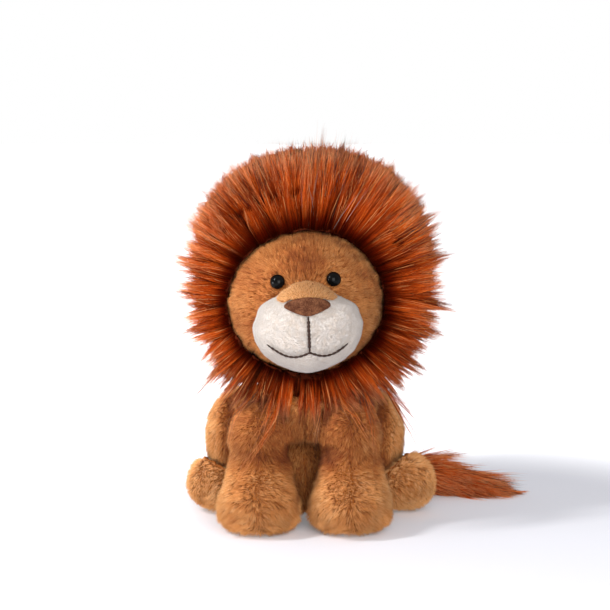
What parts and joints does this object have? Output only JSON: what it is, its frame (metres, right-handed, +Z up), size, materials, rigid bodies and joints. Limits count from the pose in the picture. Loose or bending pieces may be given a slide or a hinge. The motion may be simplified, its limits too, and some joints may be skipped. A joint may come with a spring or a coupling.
{
  "type": "plush lion",
  "caption": "Sitting stuffed lion with a long-haired mane, pale muzzle, safety eyes, sewn legs and a tufted tail; head, legs and tail flex at their seams.",
  "frame": {"origin": "middle of the flat seat under the body, on the surface the toy sits on", "axes": "+Z up, -Y the way the face looks, +X the viewer's right"},
  "size_m": [0.2408, 0.1794, 0.2662],
  "materials": {
    "tan_plush": "matte",
    "long_fur": "matte",
    "velour": "matte",
    "nose_suede": "matte",
    "thread": "matte",
    "eye_plastic": "gloss",
    "washer_plastic": "satin",
    "stuffing": "matte",
    "bag_cloth": "matte"
  },
  "bodies": {
    "body": {"body_skin": "tan_plush", "body_stuffing": "stuffing", "pellet_bag": "bag_cloth"},
    "neck": {"neck_stuffing": "stuffing"},
    "head": {"head_skin": "tan_plush", "head_stuffing": "stuffing", "muzzle_skin": "velour", "muzzle_stuffing": "stuffing", "nose": "nose_suede", "nose_bridge": "tan_plush", "smile_stitch": "thread", "lip_stitch": "thread", "eye_left": "eye_plastic", "eye_washer_left": "washer_plastic", "eye_right": "eye_plastic", "eye_washer_right": "washer_plastic", "mane_right": "long_fur", "mane_crown": "long_fur", "mane_left": "long_fur", "mane_bib": "long_fur", "mane_back": "long_fur"},
    "front_leg_left": {"front_leg_skin_left": "tan_plush", "front_leg_stuffing_left": "stuffing"},
    "front_leg_right": {"front_leg_skin_right": "tan_plush", "front_leg_stuffing_right": "stuffing"},
    "hind_leg_left": {"haunch_skin_left": "tan_plush", "haunch_stuffing_left": "stuffing", "foot_skin_left": "tan_plush", "foot_stuffing_left": "stuffing"},
    "hind_leg_right": {"haunch_skin_right": "tan_plush", "haunch_stuffing_right": "stuffing", "foot_skin_right": "tan_plush", "foot_stuffing_right": "stuffing"},
    "tail": {"tail_stem": "tan_plush"},
    "tuft": {"tail_tuft": "long_fur"}
  },
  "joints": [
    {"name": "neck_turn", "type": "hinge", "parent": "body", "child": "neck", "pos_m": [0, -0.006, 0.1], "axis": [0, 0, 1], "range_deg": [-25, 25], "stiffness_Nm_per_rad": 0.6},
    {"name": "neck_nod", "type": "hinge", "parent": "neck", "child": "head", "pos_m": [0, -0.006, 0.1], "axis": [1, 0, 0], "range_deg": [-8, 8], "stiffness_Nm_per_rad": 1},
    {"name": "front_leg_left_swing", "type": "hinge", "parent": "body", "child": "front_leg_left", "pos_m": [-0.0315, -0.033, 0.064], "axis": [-1, 0, 0], "range_deg": [0, 35], "stiffness_Nm_per_rad": 0.15},
    {"name": "front_leg_right_swing", "type": "hinge", "parent": "body", "child": "front_leg_right", "pos_m": [0.0315, -0.033, 0.064], "axis": [-1, 0, 0], "range_deg": [0, 35], "stiffness_Nm_per_rad": 0.15},
    {"name": "hind_leg_left_lift", "type": "hinge", "parent": "body", "child": "hind_leg_left", "pos_m": [-0.041, 0.028, 0.05], "axis": [-1, 0, 0], "range_deg": [0, 15], "stiffness_Nm_per_rad": 0.15},
    {"name": "hind_leg_right_lift", "type": "hinge", "parent": "body", "child": "hind_leg_right", "pos_m": [0.041, 0.028, 0.05], "axis": [-1, 0, 0], "range_deg": [0, 15], "stiffness_Nm_per_rad": 0.15},
    {"name": "tail_swing", "type": "hinge", "parent": "body", "child": "tail", "pos_m": [0.012, 0.06, 0.015], "axis": [0, 0, 1], "range_deg": [0, 60]},
    {"name": "tail_tuft_lift", "type": "hinge", "parent": "tail", "child": "tuft", "pos_m": [0.064, 0.0655, 0.0145], "axis": [0, -1, 0], "range_deg": [0, 40]}
  ]
}
